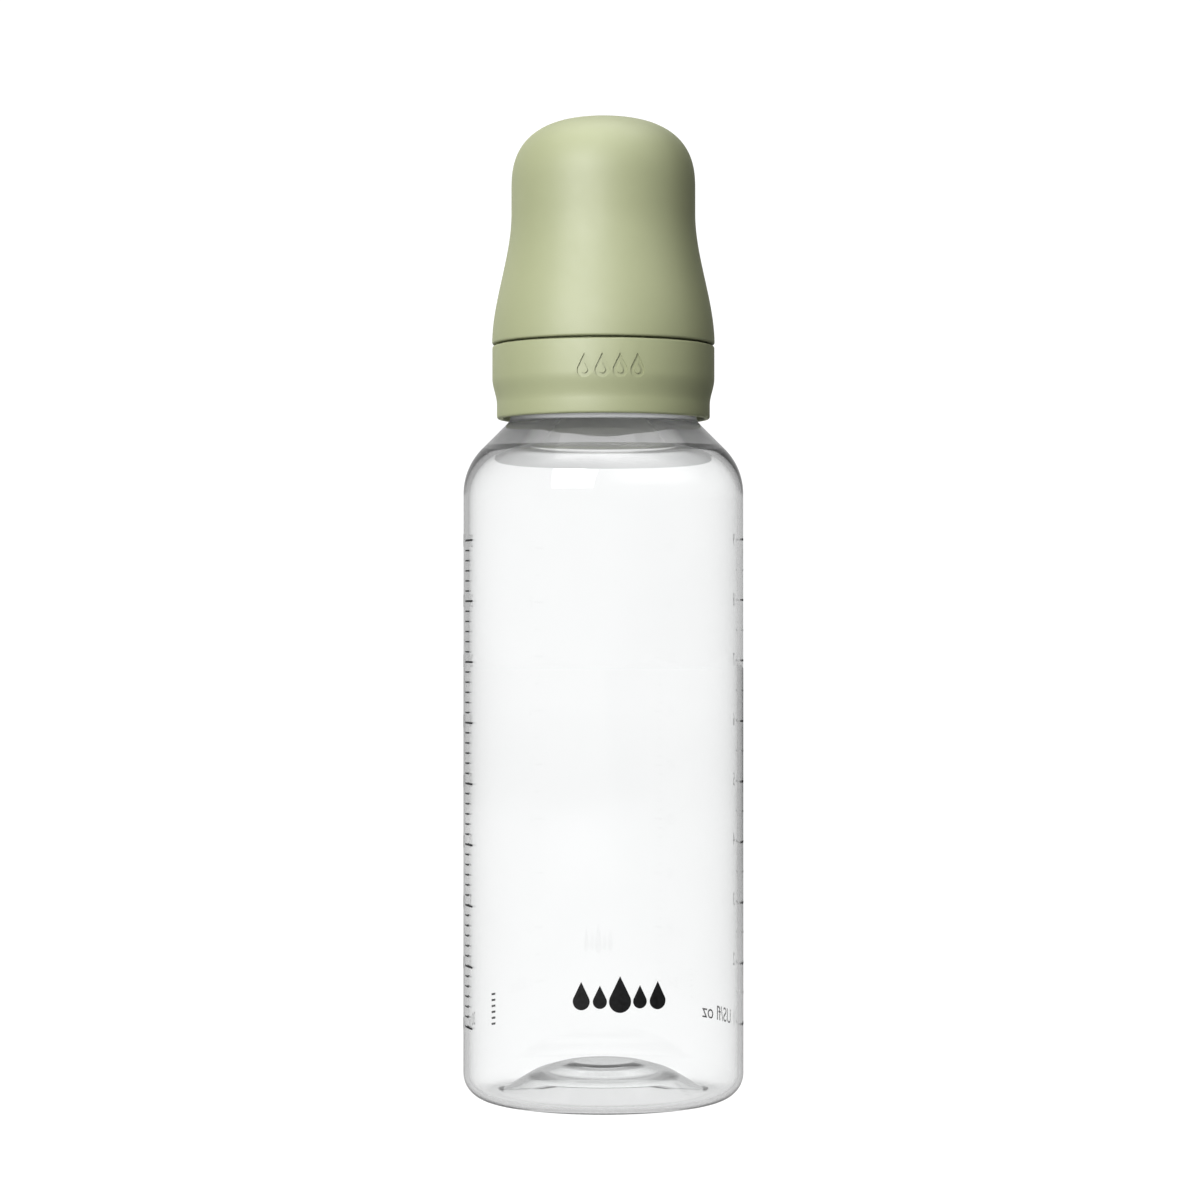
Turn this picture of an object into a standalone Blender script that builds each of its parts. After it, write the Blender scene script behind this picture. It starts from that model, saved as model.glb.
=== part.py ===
"""Baby bottle: a clear bottle with a screw neck, a silicone teat, a screw collar and a dome cap.

Metres, +Z up. The origin is the centre of the standing ring, and the bottle's axis is Z. Every
piece is turned about that axis, and its object's origin lies on the axis at the piece's own seat.
"""

import math

import bmesh
import bpy

SEGMENTS = 48  # flats round every turned piece
TAU = 2 * math.pi

# Bottle
BODY_RADIUS = 0.02885
BODY_WALL = 0.00115
BASE_FILLET = 0.0053
BASE_THICKNESS = 0.0012
RING_WIDTH = 0.0022  # the flat that the bottle stands on
PUNT_CREST_RADIUS = 0.0140  # the raised base rises steeply as far as this, and gently above it
PUNT_CREST_Z = 0.0042
PUNT_FLAT_RADIUS = 0.0077
PUNT_FLAT_Z = 0.0060
PUNT_BEND = 0.0017
PUNT_THICKNESS = 0.0015
SHOULDER_START = 0.1243
SHOULDER_ARC = 0.0130
CONE_DEG = 45.0  # the shoulder's cone, from the bottle's axis
INNER_SHOULDER_START = 0.12375
INNER_SHOULDER_ARC = 0.0113
INNER_CONE_DEG = 55.0  # flatter than the outside, so that the wall thickens up to the neck
NECK_RADIUS = 0.0192
NECK_BORE = 0.0158
NECK_FILLET = 0.0020
NECK_INNER_FILLET = 0.0008
MOUTH_Z = 0.1507

# Screw thread, right-handed, on the neck and in the collar
PITCH = 0.0050
THREAD_TURNS = 1.5
THREAD_START_Z = 0.1416
THREAD_DEPTH = 0.0011
NECK_THREAD_WIDTHS = (0.0022, 0.0012)  # at the root and at the crest
COLLAR_THREAD_WIDTHS = (0.0019, 0.0010)
COLLAR_THREAD_DEG = 180  # half a turn on, so that each ridge lies midway between the other's turns
THREAD_SINK = 0.0006  # how far a ridge's root is buried in its wall
THREAD_FADE_DEG = 45.0

# Collar
COLLAR_BOTTOM_Z = 0.13966
COLLAR_TOP_Z = 0.15465
COLLAR_RADIUS = 0.0229
COLLAR_GRIP_RADIUS = 0.02195  # the narrower lower part
COLLAR_STEP = (0.1426, 0.1480)  # heights between which the outside swells
COLLAR_BORE = 0.0207
LIP_THICKNESS = 0.0018
LIP_HOLE = 0.0160
SPIGOT_RADIUS = 0.0208
SPIGOT_WALL = 0.0012
SPIGOT_HEIGHT = 0.0040
SPIGOT_BEAD = 0.0003
SPIGOT_BEAD_HEIGHT = 0.0027  # above the collar's top, and above the cap's own bead

# Gap between pieces that touch
GAP = 0.0003

# Teat
FLANGE_RADIUS = 0.0201
FLANGE_THICKNESS = 0.0015
TEAT_BEAD_RADIUS = 0.0166
TEAT_WALL = 0.0018
BREAST_Z = 0.1566  # where the breast starts to curve in
BREAST_CONVEX = 0.0140
BREAST_CONCAVE = 0.0060
NIPPLE_NECK_RADIUS = 0.0053
TIP_RADIUS = 0.0077
TIP_Z = 0.1884
FEED_HOLE = 0.0006
VENT_RADIUS = 0.0006
VENT_SIDES = 8
VENT_DRILL_LENGTH = 0.0400  # goes right across the teat
VENT_Z = 0.1612

# Dome cap
CAP_BOTTOM_Z = 0.15505
CAP_TOP_Z = 0.2018
CAP_SKIRT_RADIUS = 0.02295
CAP_WAIST_RADIUS = 0.01897
CAP_WAIST_Z = (0.1820, 0.1870)
CAP_DOME_POWER = 2.6
CAP_WALL = 0.0014
CAP_SEAT_RADIUS = 0.0216
CAP_SEAT_HEIGHT = 0.0046
CAP_BEAD = 0.0002
CAP_BEAD_HEIGHT = 0.0012
EDGE = 0.0003  # the small round on moulded edges


def arc(centre, radius, start_deg, end_deg, steps):
    """Points (r, z) on a circle, both ends included."""
    points = []
    for i in range(steps + 1):
        angle = math.radians(start_deg + (end_deg - start_deg) * i / steps)
        points.append((centre[0] + radius * math.cos(angle), centre[1] + radius * math.sin(angle)))
    return points


def smooth(t):
    """A ramp from 0 to 1 with level ends."""
    t = min(1.0, max(0.0, t))
    return t * t * (3 - 2 * t)


def ramp(start, end, steps, along=0):
    """Points of an S-shaped ramp from start to end. Coordinate number along moves evenly."""
    points = []
    for i in range(steps + 1):
        t = i / steps
        eased = [start[k] + (end[k] - start[k]) * (t if k == along else smooth(t)) for k in (0, 1)]
        points.append(tuple(eased))
    return points


def bend(before, corner, after, reach, steps):
    """Points (r, z) of a curve that rounds a corner, from reach before it to reach after it."""
    ends = []
    for other in (before, after):
        share = reach / math.dist(corner, other)
        ends.append([corner[k] + (other[k] - corner[k]) * share for k in (0, 1)])
    points = []
    for i in range(steps + 1):
        t = i / steps
        weights = ((1 - t) ** 2, 2 * t * (1 - t), t * t)
        spots = (ends[0], corner, ends[1])
        points.append(tuple(sum(w * spot[k] for w, spot in zip(weights, spots)) for k in (0, 1)))
    return points


def material(name, colour, roughness, alpha=1.0, transmission=0.0):
    made = bpy.data.materials.new(name)
    made.use_nodes = True
    shader = made.node_tree.nodes["Principled BSDF"]
    shader.inputs["Base Color"].default_value = (*colour, 1.0)
    shader.inputs["Roughness"].default_value = roughness
    shader.inputs["Metallic"].default_value = 0.0
    shader.inputs["Alpha"].default_value = alpha
    shader.inputs["Transmission Weight"].default_value = transmission
    return made


def add_object(name, work, finish, origin_z):
    """A smooth-shaded object from a bmesh with the bottle's heights. Its origin is at origin_z."""
    bmesh.ops.recalc_face_normals(work, faces=work.faces)
    bmesh.ops.translate(work, verts=work.verts, vec=(0, 0, -origin_z))
    mesh = bpy.data.meshes.new(name)
    work.to_mesh(mesh)
    work.free()
    mesh.shade_smooth()
    mesh.set_sharp_from_angle(angle=math.radians(35))
    mesh.materials.append(finish)
    made = bpy.data.objects.new(name, mesh)
    made.location.z = origin_z
    bpy.context.collection.objects.link(made)
    return made


def turned(name, outline, finish, origin_z):
    """The solid that a closed outline of (r, z) points sweeps about Z. A point at r = 0 is one vertex."""
    work = bmesh.new()
    rings = []
    for r, z in outline:
        count = 1 if r == 0 else SEGMENTS
        angles = [TAU * i / SEGMENTS for i in range(count)]
        rings.append([work.verts.new((r * math.cos(a), r * math.sin(a), z)) for a in angles])
    for ring, following in zip(rings, rings[1:] + rings[:1]):
        if len(ring) == len(following) == 1:
            continue
        for i in range(SEGMENTS):
            j = (i + 1) % SEGMENTS
            corners = [ring[i % len(ring)], ring[j % len(ring)]]
            corners += [following[j % len(following)], following[i % len(following)]]
            work.faces.new(dict.fromkeys(corners))
    return add_object(name, work, finish, origin_z)


def thread_ridge(host, wall_radius, outwards, widths, start_deg):
    """A helical ridge joined to host. outwards is 1 on a shaft, and -1 in a bore."""
    root_width, crest_width = widths
    root = wall_radius - outwards * THREAD_SINK
    lowest = wall_radius - outwards * THREAD_SINK / 2
    crest = wall_radius + outwards * THREAD_DEPTH
    steps = round(THREAD_TURNS * SEGMENTS)
    work = bmesh.new()
    sections = []
    for i in range(steps + 1):
        turn_deg = 360 * THREAD_TURNS * i / steps
        from_end = min(turn_deg, 360 * THREAD_TURNS - turn_deg)
        top = lowest + (crest - lowest) * smooth(from_end / THREAD_FADE_DEG)
        angle = math.radians(start_deg + turn_deg)
        middle = THREAD_START_Z + PITCH * turn_deg / 360
        corners = (
            (root, middle - root_width / 2),
            (top, middle - crest_width / 2),
            (top, middle + crest_width / 2),
            (root, middle + root_width / 2),
        )
        cos, sin = math.cos(angle), math.sin(angle)
        sections.append([work.verts.new((r * cos, r * sin, z)) for r, z in corners])
    for section, following in zip(sections, sections[1:]):
        for i in range(4):
            j = (i + 1) % 4
            work.faces.new((section[i], section[j], following[j], following[i]))
    work.faces.new(sections[0])
    work.faces.new(reversed(sections[-1]))
    ridge = add_object(host.name + "_thread", work, host.data.materials[0], host.location.z)
    ridge.hide_render = True
    ridge.display_type = "WIRE"
    join = host.modifiers.new("thread", "BOOLEAN")
    join.operation = "UNION"
    join.solver = "EXACT"
    join.object = ridge


def shoulder(radius, start_z, arc_radius, cone_deg, neck_radius, fillet, steps):
    """Points from the body's wall up over the shoulder and its cone to the neck."""
    over = arc((radius - arc_radius, start_z), arc_radius, 0, cone_deg, steps)
    cone_r, cone_z = over[-1]
    corner_z = cone_z + (cone_r - neck_radius) / math.tan(math.radians(cone_deg))
    centre = (neck_radius + fillet, corner_z + fillet * math.tan(math.radians(cone_deg / 2)))
    return over + arc(centre, fillet, 180 + cone_deg, 180, 3)


def punt(ring_radius, ring_z, thickness):
    """Points up the raised base from the standing ring to its flat middle, and so to the axis."""
    ring = (ring_radius, ring_z)
    crest = (PUNT_CREST_RADIUS, PUNT_CREST_Z + thickness)
    edge = (PUNT_FLAT_RADIUS, PUNT_FLAT_Z + thickness)
    middle = (0, PUNT_FLAT_Z + thickness)
    return [ring, *bend(ring, crest, edge, PUNT_BEND, 2), *bend(crest, edge, middle, PUNT_BEND, 2), middle]


def make_bottle(finish):
    ring_outer = BODY_RADIUS - BASE_FILLET
    ring_inner = ring_outer - RING_WIDTH
    inner_radius = BODY_RADIUS - BODY_WALL
    inner_fillet = BASE_FILLET - BASE_THICKNESS

    outline = list(reversed(punt(ring_inner, 0, 0)))
    outline += arc((ring_outer, BASE_FILLET), BASE_FILLET, -90, 0, 5)
    outline += shoulder(BODY_RADIUS, SHOULDER_START, SHOULDER_ARC, CONE_DEG, NECK_RADIUS, NECK_FILLET, 5)
    outline += [(NECK_RADIUS, MOUTH_Z - EDGE), (NECK_RADIUS - EDGE, MOUTH_Z)]
    outline += [(NECK_BORE + EDGE, MOUTH_Z), (NECK_BORE, MOUTH_Z - EDGE)]

    inside = (inner_radius, INNER_SHOULDER_START, INNER_SHOULDER_ARC, INNER_CONE_DEG)
    outline += reversed(shoulder(*inside, NECK_BORE, NECK_INNER_FILLET, 4))
    outline += arc((inner_radius - inner_fillet, BASE_FILLET), inner_fillet, 0, -90, 4)
    outline += punt(ring_inner, BASE_THICKNESS, PUNT_THICKNESS)

    bottle = turned("bottle", outline, finish, 0)
    thread_ridge(bottle, NECK_RADIUS, 1, NECK_THREAD_WIDTHS, 0)
    return bottle


def breast(radius, convex, neck_radius, concave, steps):
    """Points up the teat's breast: a convex arc from its upright base, then a concave one."""
    centre_r = radius - convex
    meet = math.degrees(math.acos((neck_radius + concave - centre_r) / (convex + concave)))
    reach = math.radians(meet)
    neck_centre = (
        centre_r + (convex + concave) * math.cos(reach),
        BREAST_Z + (convex + concave) * math.sin(reach),
    )
    points = arc((centre_r, BREAST_Z), convex, 0, meet, steps)
    return points + arc(neck_centre, concave, 180 + meet, 180, steps)[1:]


def tip(radius, neck_radius, steps):
    """Points round the nipple's tip, from its neck up to the feed hole."""
    neck_deg = math.degrees(math.acos(neck_radius / radius))
    hole_deg = math.degrees(math.acos(FEED_HOLE / radius))
    return arc((0, TIP_Z), radius, -neck_deg, hole_deg, steps)


def make_teat(finish):
    """A flange under the collar's lip, a groove round the lip, a bead above it, breast and tip."""
    flange_z = MOUTH_Z + GAP
    flange_top = flange_z + FLANGE_THICKNESS
    bead_z = COLLAR_TOP_Z + GAP
    groove = LIP_HOLE - GAP
    bore = TEAT_BEAD_RADIUS - TEAT_WALL
    core_neck = NIPPLE_NECK_RADIUS - TEAT_WALL

    outline = [(bore, flange_z), (FLANGE_RADIUS, flange_z), (FLANGE_RADIUS, flange_top)]
    outline += [(groove, flange_top), (groove, bead_z), (TEAT_BEAD_RADIUS, bead_z)]
    outline += breast(TEAT_BEAD_RADIUS, BREAST_CONVEX, NIPPLE_NECK_RADIUS, BREAST_CONCAVE, 5)
    outline += tip(TIP_RADIUS, NIPPLE_NECK_RADIUS, 8)
    outline += reversed(tip(TIP_RADIUS - TEAT_WALL, core_neck, 6))
    outline += reversed(breast(bore, BREAST_CONVEX - TEAT_WALL, core_neck, BREAST_CONCAVE + TEAT_WALL, 4))

    teat = turned("teat", outline, finish, flange_z)
    cut_vents(teat, finish)
    return teat


def cut_vents(teat, finish):
    """Two air vents through the breast, one on each side."""
    work = bmesh.new()
    round_bar = {"radius1": VENT_RADIUS, "radius2": VENT_RADIUS, "depth": VENT_DRILL_LENGTH}
    bmesh.ops.create_cone(work, cap_ends=True, segments=VENT_SIDES, **round_bar)
    for vertex in work.verts:
        vertex.co = (vertex.co.z, vertex.co.x, vertex.co.y + VENT_Z)
    drill = add_object("vent_drill", work, finish, teat.location.z)
    drill.hide_render = True
    drill.display_type = "WIRE"
    cut = teat.modifiers.new("vents", "BOOLEAN")
    cut.operation = "DIFFERENCE"
    cut.solver = "EXACT"
    cut.object = drill


def make_collar(finish):
    """The screw ring: a wall with a thread inside, a lip over the teat's flange, and the cap's spigot."""
    spigot_bore = SPIGOT_RADIUS - SPIGOT_WALL
    spigot_top = COLLAR_TOP_Z + SPIGOT_HEIGHT
    bead_z = COLLAR_TOP_Z + SPIGOT_BEAD_HEIGHT
    lip_z = COLLAR_TOP_Z - LIP_THICKNESS

    outline = [(COLLAR_BORE, COLLAR_BOTTOM_Z + EDGE), (COLLAR_BORE + EDGE, COLLAR_BOTTOM_Z)]
    outline += [(COLLAR_GRIP_RADIUS - EDGE, COLLAR_BOTTOM_Z), (COLLAR_GRIP_RADIUS, COLLAR_BOTTOM_Z + EDGE)]
    outline += ramp((COLLAR_GRIP_RADIUS, COLLAR_STEP[0]), (COLLAR_RADIUS, COLLAR_STEP[1]), 5, along=1)
    outline += [(COLLAR_RADIUS, COLLAR_TOP_Z - EDGE), (COLLAR_RADIUS - EDGE, COLLAR_TOP_Z)]
    outline += [(SPIGOT_RADIUS, COLLAR_TOP_Z), (SPIGOT_RADIUS, bead_z - 2 * SPIGOT_BEAD)]
    outline += [(SPIGOT_RADIUS + SPIGOT_BEAD, bead_z), (SPIGOT_RADIUS, bead_z + 2 * SPIGOT_BEAD)]
    outline += [(SPIGOT_RADIUS, spigot_top - EDGE), (SPIGOT_RADIUS - EDGE, spigot_top)]
    outline += [(spigot_bore, spigot_top), (spigot_bore, COLLAR_TOP_Z)]
    outline += [(LIP_HOLE, COLLAR_TOP_Z), (LIP_HOLE, lip_z), (COLLAR_BORE, lip_z)]

    collar = turned("collar", outline, finish, COLLAR_BOTTOM_Z)
    thread_ridge(collar, COLLAR_BORE, -1, COLLAR_THREAD_WIDTHS, COLLAR_THREAD_DEG)
    return collar


def cap_outline(offset, start_z, skirt_steps, dome_steps):
    """The cap's side from the skirt at start_z up to the top, moved inwards by offset."""
    low, high = CAP_WAIST_Z
    waist = CAP_WAIST_RADIUS - offset
    rise = CAP_TOP_Z - offset - high
    points = []
    for i in range(skirt_steps + 1):
        z = start_z + (low - start_z) * i / skirt_steps
        flare = 1 - smooth((z - CAP_BOTTOM_Z) / (low - CAP_BOTTOM_Z))
        points.append((waist + (CAP_SKIRT_RADIUS - CAP_WAIST_RADIUS) * flare, z))
    for i in range(dome_steps):
        angle = math.pi / 2 * i / dome_steps
        r = waist * math.cos(angle) ** (2 / CAP_DOME_POWER)
        points.append((r, high + rise * math.sin(angle) ** (2 / CAP_DOME_POWER)))
    return points + [(0, CAP_TOP_Z - offset)]


def make_cap(finish):
    seat_z = CAP_BOTTOM_Z + CAP_SEAT_HEIGHT
    bead_z = CAP_BOTTOM_Z + CAP_BEAD_HEIGHT
    outline = [(CAP_SKIRT_RADIUS - EDGE, CAP_BOTTOM_Z)]
    outline += cap_outline(0, CAP_BOTTOM_Z + EDGE, 8, 9)
    outline += reversed(cap_outline(CAP_WALL, seat_z + EDGE, 6, 7))
    outline += [(CAP_SEAT_RADIUS, seat_z - EDGE), (CAP_SEAT_RADIUS, bead_z + 2 * CAP_BEAD)]
    outline += [(CAP_SEAT_RADIUS - CAP_BEAD, bead_z), (CAP_SEAT_RADIUS, bead_z - 2 * CAP_BEAD)]
    outline += [(CAP_SEAT_RADIUS, CAP_BOTTOM_Z + EDGE)]
    outline += [(CAP_SEAT_RADIUS + EDGE, CAP_BOTTOM_Z)]
    return turned("dome_cap", outline, finish, CAP_BOTTOM_Z)


def hang_on(child, parent):
    """Parents child to parent and leaves it where it is."""
    child.parent = parent
    child.location.z -= sum(part.location.z for part in ancestors(child))


def ancestors(item):
    found = []
    while item.parent:
        item = item.parent
        found.append(item)
    return found


def main():
    for item in list(bpy.data.objects):
        bpy.data.objects.remove(item)
    clear_plastic = material("clear_plastic", (0.93, 0.94, 0.94), 0.05, alpha=0.3, transmission=1.0)
    silicone = material("silicone", (0.85, 0.85, 0.82), 0.30, alpha=0.7, transmission=0.6)
    sage_collar = material("sage_collar", (0.55, 0.59, 0.40), 0.50)
    sage_cap = material("sage_cap", (0.55, 0.59, 0.40), 0.50)

    bottle = make_bottle(clear_plastic)
    teat = make_teat(silicone)
    collar = make_collar(sage_collar)
    cap = make_cap(sage_cap)
    hang_on(teat, bottle)
    hang_on(collar, teat)
    hang_on(cap, collar)


main()
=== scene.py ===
"""Looks of the baby bottle: fine turned pieces, printed scales, materials, studio light and the camera.

Metres, +Z up, and the same frame as the CAD. The front faces -Y. A compass angle here is measured from the
front, seen from above, and grows towards +X.
"""

import math

import bmesh
import bpy
from mathutils import Matrix, Vector


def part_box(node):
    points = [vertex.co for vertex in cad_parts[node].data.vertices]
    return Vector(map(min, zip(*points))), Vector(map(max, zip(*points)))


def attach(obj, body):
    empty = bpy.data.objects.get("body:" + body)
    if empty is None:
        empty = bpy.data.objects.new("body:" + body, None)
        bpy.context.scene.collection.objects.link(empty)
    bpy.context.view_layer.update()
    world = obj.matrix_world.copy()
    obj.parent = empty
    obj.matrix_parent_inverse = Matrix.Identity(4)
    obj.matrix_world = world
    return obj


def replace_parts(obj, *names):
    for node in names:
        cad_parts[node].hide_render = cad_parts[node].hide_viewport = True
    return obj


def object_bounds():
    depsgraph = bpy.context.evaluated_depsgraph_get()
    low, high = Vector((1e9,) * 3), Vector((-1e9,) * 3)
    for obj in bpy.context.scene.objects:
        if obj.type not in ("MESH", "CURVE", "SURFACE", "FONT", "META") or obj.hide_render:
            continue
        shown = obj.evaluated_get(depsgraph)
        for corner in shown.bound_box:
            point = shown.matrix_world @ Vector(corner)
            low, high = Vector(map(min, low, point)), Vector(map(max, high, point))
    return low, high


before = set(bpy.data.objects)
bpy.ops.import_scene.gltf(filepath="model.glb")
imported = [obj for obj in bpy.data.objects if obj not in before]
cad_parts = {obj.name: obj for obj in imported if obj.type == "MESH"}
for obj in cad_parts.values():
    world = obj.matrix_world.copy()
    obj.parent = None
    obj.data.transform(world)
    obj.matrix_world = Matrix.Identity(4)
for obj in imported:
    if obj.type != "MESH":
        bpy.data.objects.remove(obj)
CAD_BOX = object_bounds()

TAU = 2 * math.pi
GAP = 0.0003  # between pieces that touch
EDGE = 0.0003  # the small round on moulded edges
INK_THICKNESS = 0.00002
INK_SINK = 0.00001  # how far ink reaches into the wall, so that no air lies behind it
STRIP = 0.0005  # a drawing is cut into strips this wide, so that it bends round a wall
ROW_STEP = 0.01  # spacing of the points up a plain wall
ROUND_STEPS = 4  # of a small edge round
SHARP_DEG = 40  # an edge that turns more than this is shaded sharp
DROP_HEIGHT = 2.3  # from the centre of a drawn drop's round foot to its tip, in radii of the foot
DROP_STEPS = 28

# Bottle
BODY_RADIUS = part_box("bottle")[1].x - INK_THICKNESS
BODY_WALL = 0.00115
BASE_FILLET = 0.0053
BASE_THICKNESS = 0.0012
RING_WIDTH = 0.0022
RING_BEND = RING_WIDTH * 0.4
PUNT_CREST_RADIUS = 0.0140  # the raised base rises steeply as far as this, and gently above it
PUNT_CREST_Z = 0.0042
PUNT_FLAT_RADIUS = 0.0077
PUNT_FLAT_Z = 0.0060
PUNT_BEND = 0.0017
PUNT_THICKNESS = 0.0015
SHOULDER_START = 0.1243
SHOULDER_ARC = 0.0130
CONE_DEG = 45.0  # the shoulder's cone, from the bottle's axis
INNER_SHOULDER_START = 0.12375
INNER_SHOULDER_ARC = 0.0113
INNER_CONE_DEG = 55.0  # flatter than the outside, so that the wall thickens up to the neck
INNER_FROST_SHADE_Z = (0.1330, 0.1440)  # the inside is frosted between these heights, and tinted grey there as painted shade under the collar
OUTER_FROST_SHADE_Z = (0.1386, 0.1402)  # and so is the round at the foot of the neck, with the same grey painted shade
BOTTLE_SIDES = 288
NECK_RADIUS = 0.0192
NECK_BORE = 0.0158
NECK_FILLET = 0.0020
NECK_INNER_FILLET = 0.0008
MOUTH_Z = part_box("bottle")[1].z

# Screw thread
PITCH = 0.0050
THREAD_TURNS = 1.5
THREAD_START_Z = 0.1416
THREAD_DEPTH = 0.0011
NECK_THREAD_WIDTHS = (0.0020, 0.0012)  # at the wall and at the crest
COLLAR_THREAD_WIDTHS = (0.0017, 0.0010)
NECK_THREAD_DEG = 0
COLLAR_THREAD_DEG = 180
THREAD_FADE_DEG = 45.0
THREAD_STEP = 0.00014  # spacing of the rows that carry the ridge

# Collar
COLLAR_BOTTOM_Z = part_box("collar")[0].z
COLLAR_TOP_Z = 0.15465
COLLAR_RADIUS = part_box("collar")[1].x
COLLAR_GRIP_RADIUS = 0.02195
COLLAR_STEP = (0.1426, 0.1480)
COLLAR_BORE = 0.0207
LIP_THICKNESS = 0.0018
LIP_HOLE = 0.0160
SPIGOT_RADIUS = 0.0208
SPIGOT_WALL = 0.0012
SPIGOT_TOP_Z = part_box("collar")[1].z
SPIGOT_BEAD = 0.0003
SPIGOT_BEAD_Z = COLLAR_TOP_Z + 0.0027
COLLAR_MARK_DEG = 3.8
COLLAR_MARK_Z = 0.14815  # height of the sunk drops' round feet
COLLAR_MARK_DEPTH = 0.00030
COLLAR_MARK_DROPS = 4
COLLAR_MARK_STEP = 0.0036
COLLAR_MARK_SIZE = 0.0015
COLLAR_MARK_INNER_SIZE = COLLAR_MARK_SIZE * 0.42  # the drops are outlines, raised inside
COLLAR_SIDES = 288

# Teat
FLANGE_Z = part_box("teat")[0].z
FLANGE_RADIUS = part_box("teat")[1].x
FLANGE_THICKNESS = 0.0015
TEAT_BEAD_RADIUS = 0.0166
TEAT_WALL = 0.0018
BREAST_Z = 0.1566
BREAST_CONVEX = 0.0140
BREAST_CONCAVE = 0.0060
NIPPLE_NECK_RADIUS = 0.0053
TIP_RADIUS = 0.0077
TIP_Z = 0.1884
FEED_HOLE = 0.0006
VENT_RADIUS = 0.0006
VENT_Z = 0.1612
VENT_DRILL_LENGTH = 0.0400  # goes right across the teat
VENT_DRILL_SIDES = 32
TEAT_SIDES = 192

# Dome cap
CAP_BOTTOM_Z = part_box("dome_cap")[0].z
CAP_TOP_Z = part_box("dome_cap")[1].z
CAP_SKIRT_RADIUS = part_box("dome_cap")[1].x
CAP_WAIST_RADIUS = 0.01897
CAP_WAIST_Z = (0.1820, 0.1870)
CAP_DOME_POWER = 2.6
CAP_WALL = 0.0014
CAP_SEAT_RADIUS = 0.0216
CAP_SEAT_HEIGHT = 0.0046
CAP_BEAD = 0.0002
CAP_BEAD_HEIGHT = 0.0012
CAP_SIDES = 256


# ---------------------------------------------------------------- outlines

def arc(centre, radius, start_deg, end_deg, steps):
    """Points (r, z) on a circle, both ends included."""
    points = []
    for i in range(steps + 1):
        angle = math.radians(start_deg + (end_deg - start_deg) * i / steps)
        points.append((centre[0] + radius * math.cos(angle), centre[1] + radius * math.sin(angle)))
    return points


def smooth(t):
    """A ramp from 0 to 1 with level ends."""
    t = min(1.0, max(0.0, t))
    return t * t * (3 - 2 * t)


def ramp(start, end, steps, along=0):
    """Points of an S-shaped ramp. Coordinate number along moves evenly, and the other eases."""
    points = []
    for i in range(steps + 1):
        t = i / steps
        shares = [t if k == along else smooth(t) for k in (0, 1)]
        points.append(tuple(a + (b - a) * share for a, b, share in zip(start, end, shares)))
    return points


def bend(before, corner, after, reach, steps):
    """Points (r, z) of a curve that rounds a corner, from reach before it to reach after it."""
    corner = Vector(corner)
    start = corner + (Vector(before) - corner).normalized() * reach
    end = corner + (Vector(after) - corner).normalized() * reach
    points = []
    for i in range(steps + 1):
        t = i / steps
        points.append(tuple(start * (1 - t) ** 2 + corner * (2 * t * (1 - t)) + end * t * t))
    return points


def rounded(corners):
    """The open line through corners (r, z, round), with an arc of that radius at each inner corner."""
    points = [corners[0][:2]]
    for before, corner, after in zip(corners, corners[1:], corners[2:]):
        here = Vector(corner[:2])
        back = (Vector(before[:2]) - here).normalized()
        ahead = (Vector(after[:2]) - here).normalized()
        half = back.angle(ahead) / 2
        if corner[2] == 0:
            points.append(tuple(here))
            continue
        reach = corner[2] / math.tan(half)
        centre = here + (back + ahead).normalized() * corner[2] / math.sin(half)
        start = here + back * reach - centre
        turn = (here + ahead * reach - centre).angle_signed(start)
        for i in range(ROUND_STEPS + 1):
            angle = turn * i / ROUND_STEPS
            cos, sin = math.cos(angle), math.sin(angle)
            spoke = Vector((start.x * cos - start.y * sin, start.x * sin + start.y * cos))
            points.append(tuple(centre + spoke))
    points.append(corners[-1][:2])
    return points


def rows(r, low, high, step):
    """Points up a straight wall, close enough together to carry relief."""
    count = max(1, round((high - low) / step))
    return [(r, low + (high - low) * i / count) for i in range(count + 1)]


def even_angles(count):
    return [TAU * i / count for i in range(count)]


# ---------------------------------------------------------------- meshes

def add_object(name, mesh, finish, body):
    mesh.shade_smooth()
    mesh.set_sharp_from_angle(angle=math.radians(SHARP_DEG))
    mesh.materials.append(finish)
    made = bpy.data.objects.new(name, mesh)
    bpy.context.collection.objects.link(made)
    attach(made, body)
    return made


def turned(name, outline, angles, relief=None):
    """The mesh that a closed outline of (r, z) points sweeps about Z. A point at r = 0 becomes one vertex.
    relief(r, z, angle) is added to a point's radius."""
    verts = []
    faces = []
    rings = []
    for r, z in outline:
        first = len(verts)
        if r == 0:
            verts.append((0, 0, z))
            rings.append([first] * len(angles))
            continue
        for a in angles:
            here = r + (relief(r, z, a) if relief else 0)
            verts.append((here * math.cos(a), here * math.sin(a), z))
        rings.append(list(range(first, len(verts))))
    count = len(angles)
    for ring, following in zip(rings, rings[1:] + rings[:1]):
        if ring[0] == ring[1] and following[0] == following[1]:
            continue
        for i in range(count):
            j = (i + 1) % count
            faces.append(tuple(dict.fromkeys((ring[i], ring[j], following[j], following[i]))))
    mesh = bpy.data.meshes.new(name)
    mesh.from_pydata(verts, [], faces)
    work = bmesh.new()
    work.from_mesh(mesh)
    bmesh.ops.recalc_face_normals(work, faces=work.faces)
    work.to_mesh(mesh)
    work.free()
    return mesh


def add_polygon(flat, points):
    flat.faces.new([flat.verts.new((x, y, 0)) for x, y in points])


def drop(x, y, size):
    """A drop's outline. Its round foot has the radius size and stands round (x, y)."""
    height = DROP_HEIGHT * size
    tangent_deg = math.degrees(math.asin(size / height))
    points = [(x, y + height)]
    return points + arc((x, y), size, 180 - tangent_deg, 360 + tangent_deg, DROP_STEPS)


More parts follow.
